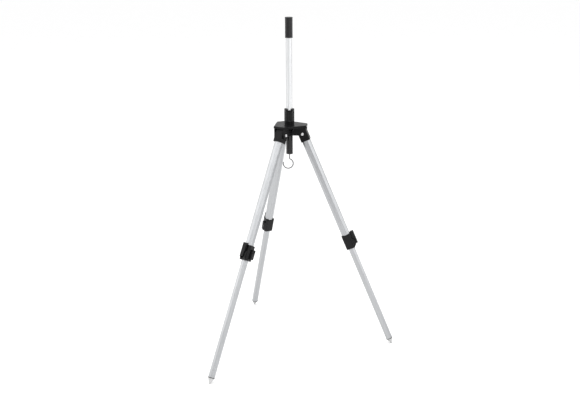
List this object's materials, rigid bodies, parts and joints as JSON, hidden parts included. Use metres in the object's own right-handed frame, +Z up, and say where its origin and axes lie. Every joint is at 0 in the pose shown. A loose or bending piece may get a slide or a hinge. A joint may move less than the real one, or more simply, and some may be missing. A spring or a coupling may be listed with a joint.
{
  "type": "telescopic tripod stand with mast",
  "caption": "Folding tripod with telescopic octagonal legs on flip-lever locks, a black hub with a twist lock for a sliding round mast, spiked feet and a hook under the mast.",
  "frame": {"origin": "point on the ground under the mast's axis, in the plane of the three spike tips", "axes": "+Z up along the mast; the camera side is -Y; the right leg points nearly along +X"},
  "size_m": [0.5005, 0.5488, 0.9062],
  "materials": {
    "hub_plastic": "moulded, semi-matte",
    "lock_plastic": "moulded, semi-matte",
    "cap_plastic": "satin",
    "mast_aluminium": "anodised, satin",
    "leg_aluminium": "anodised, satin, fine drawing lines",
    "bright_steel": "zinc plated, bright",
    "black_zinc": "black zinc plate",
    "hook_wire": "plated wire",
    "bush_plastic": "natural nylon",
    "washer_rubber": "matte",
    "spike_metal": "turned, satin"
  },
  "bodies": {
    "hub": {"hub_spider": "hub_plastic", "mast_collet": "hub_plastic", "pivot_bolts": "bright_steel", "pivot_nuts": "bright_steel"},
    "lock_nut": {"mast_lock_nut": "hub_plastic"},
    "mast": {"mast_tube": "mast_aluminium", "mast_cap": "cap_plastic", "mast_end_plug": "cap_plastic"},
    "hook": {"hook": "hook_wire", "hook_nut": "bright_steel"},
    "left_leg": {"leg_socket_left": "hub_plastic", "upper_tube_left": "leg_aluminium", "lock_collar_left": "lock_plastic", "collar_screw_left": "black_zinc", "clamp_pad_left": "lock_plastic", "lever_pin_left": "black_zinc"},
    "left_lever": {"flip_lever_left": "lock_plastic"},
    "left_lower": {"lower_tube_left": "leg_aluminium", "guide_bush_left": "bush_plastic", "foot_washer_left": "washer_rubber", "foot_spike_left": "spike_metal"},
    "right_leg": {"leg_socket_right": "hub_plastic", "upper_tube_right": "leg_aluminium", "lock_collar_right": "lock_plastic", "collar_screw_right": "black_zinc", "clamp_pad_right": "lock_plastic", "lever_pin_right": "black_zinc"},
    "right_lever": {"flip_lever_right": "lock_plastic"},
    "right_lower": {"lower_tube_right": "leg_aluminium", "guide_bush_right": "bush_plastic", "foot_washer_right": "washer_rubber", "foot_spike_right": "spike_metal"},
    "rear_leg": {"leg_socket_rear": "hub_plastic", "upper_tube_rear": "leg_aluminium", "lock_collar_rear": "lock_plastic", "collar_screw_rear": "black_zinc", "clamp_pad_rear": "lock_plastic", "lever_pin_rear": "black_zinc"},
    "rear_lever": {"flip_lever_rear": "lock_plastic"},
    "rear_lower": {"lower_tube_rear": "leg_aluminium", "guide_bush_rear": "bush_plastic", "foot_washer_rear": "washer_rubber", "foot_spike_rear": "spike_metal"}
  },
  "joints": [
    {"name": "mast_slide", "type": "slide", "parent": "hub", "child": "mast", "axis": [0, 0, 1], "range_m": [-0.185, 0]},
    {"name": "lock_nut_turn", "type": "hinge", "parent": "hub", "child": "lock_nut", "pos_m": [0, 0, 0.648], "axis": [0, 0, 1], "range_deg": [0, 180]},
    {"name": "hook_swivel", "type": "hinge", "parent": "mast", "child": "hook", "pos_m": [0, 0, 0.544], "axis": [0, 0, 1], "continuous": true},
    {"name": "left_leg_fold", "type": "hinge", "parent": "hub", "child": "left_leg", "pos_m": [-0.02186, -0.02923, 0.6], "axis": [0.8007, -0.599, 0], "range_deg": [0, 27.6]},
    {"name": "left_lever_flip", "type": "hinge", "parent": "left_leg", "child": "left_lever", "pos_m": [-0.12337, -0.16491, 0.3117], "axis": [0.8007, -0.599, 0], "range_deg": [0, 90]},
    {"name": "left_leg_extend", "type": "slide", "parent": "left_leg", "child": "left_lower", "axis": [-0.2775, -0.371, -0.8862], "range_m": [-0.28, 0.0107]},
    {"name": "right_leg_fold", "type": "hinge", "parent": "hub", "child": "right_leg", "pos_m": [0.03624, -0.00432, 0.6], "axis": [0.1184, 0.993, 0], "range_deg": [-5, 22.6]},
    {"name": "right_lever_flip", "type": "hinge", "parent": "right_leg", "child": "right_lever", "pos_m": [0.17891, -0.02133, 0.29803], "axis": [0.1184, 0.993, 0], "range_deg": [0, 90]},
    {"name": "right_leg_extend", "type": "slide", "parent": "right_leg", "child": "right_lower", "axis": [0.3816, -0.0455, -0.9232], "range_m": [-0.2629, 0.0378]},
    {"name": "rear_leg_fold", "type": "hinge", "parent": "hub", "child": "rear_leg", "pos_m": [-0.01438, 0.03355, 0.6], "axis": [-0.9191, -0.3939, 0], "range_deg": [-5, 22.6]},
    {"name": "rear_lever_flip", "type": "hinge", "parent": "rear_leg", "child": "rear_lever", "pos_m": [-0.07098, 0.16561, 0.29803], "axis": [-0.9191, -0.3939, 0], "range_deg": [0, 90]},
    {"name": "rear_leg_extend", "type": "slide", "parent": "rear_leg", "child": "rear_lower", "axis": [-0.1514, 0.3532, -0.9232], "range_m": [-0.2629, 0.0378]}
  ]
}
